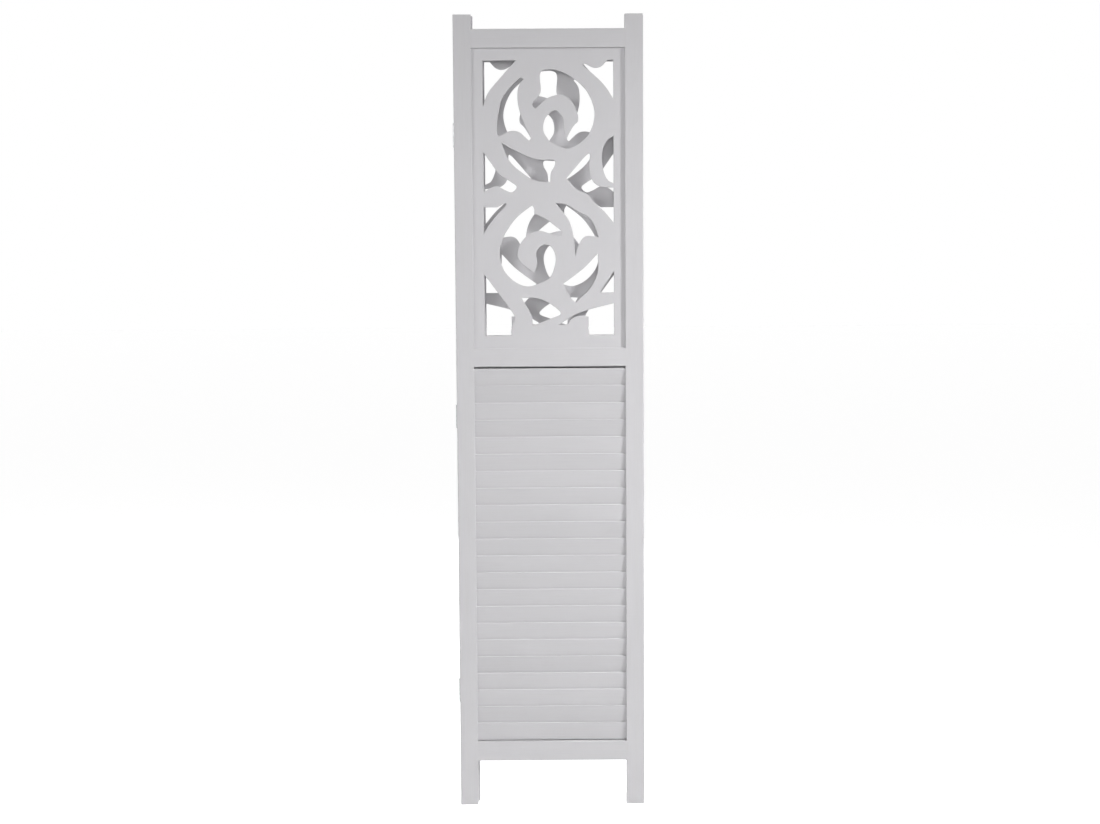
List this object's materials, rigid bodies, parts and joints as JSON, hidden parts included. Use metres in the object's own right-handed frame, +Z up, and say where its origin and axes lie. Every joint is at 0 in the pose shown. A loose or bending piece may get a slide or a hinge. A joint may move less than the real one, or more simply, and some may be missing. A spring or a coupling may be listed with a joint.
{
  "type": "folding screen",
  "caption": "Two-panel folding screen in painted wood: each panel has a pierced rose scroll board above fixed louvre slats, and butt hinges join them.",
  "frame": {"origin": "on the floor, in the middle of the front panel's width and of the folded stack's depth", "axes": "+Z up, +X to the right of someone who faces the front panel, +Y to the back of the stack"},
  "size_m": [0.4055, 0.0454, 1.7],
  "materials": {
    "painted_frame": "satin off-white paint",
    "painted_rail": "satin off-white paint",
    "painted_board": "satin off-white paint on sawn board",
    "painted_slats": "satin off-white paint",
    "bare_dowel": "bare turned beech",
    "hinge_steel": "zinc plated"
  },
  "bodies": {
    "panel_1": {"panel_1_left_stile": "painted_frame", "panel_1_right_stile": "painted_frame", "panel_1_top_rail": "painted_rail", "panel_1_middle_rail": "painted_rail", "panel_1_bottom_rail": "painted_rail", "panel_1_rose_board": "painted_board", "panel_1_slats": "painted_slats", "panel_1_dowels": "bare_dowel", "panel_1_hinge_screws": "hinge_steel", "left_lower_hinge_fixed_leaf": "hinge_steel", "left_lower_hinge_pin": "hinge_steel", "left_middle_hinge_fixed_leaf": "hinge_steel", "left_middle_hinge_pin": "hinge_steel", "left_upper_hinge_fixed_leaf": "hinge_steel", "left_upper_hinge_pin": "hinge_steel"},
    "panel_2": {"panel_2_left_stile": "painted_frame", "panel_2_right_stile": "painted_frame", "panel_2_top_rail": "painted_rail", "panel_2_middle_rail": "painted_rail", "panel_2_bottom_rail": "painted_rail", "panel_2_rose_board": "painted_board", "panel_2_slats": "painted_slats", "panel_2_dowels": "bare_dowel", "panel_2_hinge_screws": "hinge_steel", "left_lower_hinge_moving_leaf": "hinge_steel", "left_middle_hinge_moving_leaf": "hinge_steel", "left_upper_hinge_moving_leaf": "hinge_steel"}
  },
  "joints": [
    {"name": "left_fold", "type": "hinge", "parent": "panel_1", "child": "panel_2", "pos_m": [-0.2003, 0, 0.85], "axis": [0, 0, 1], "range_deg": [0, 180]}
  ]
}
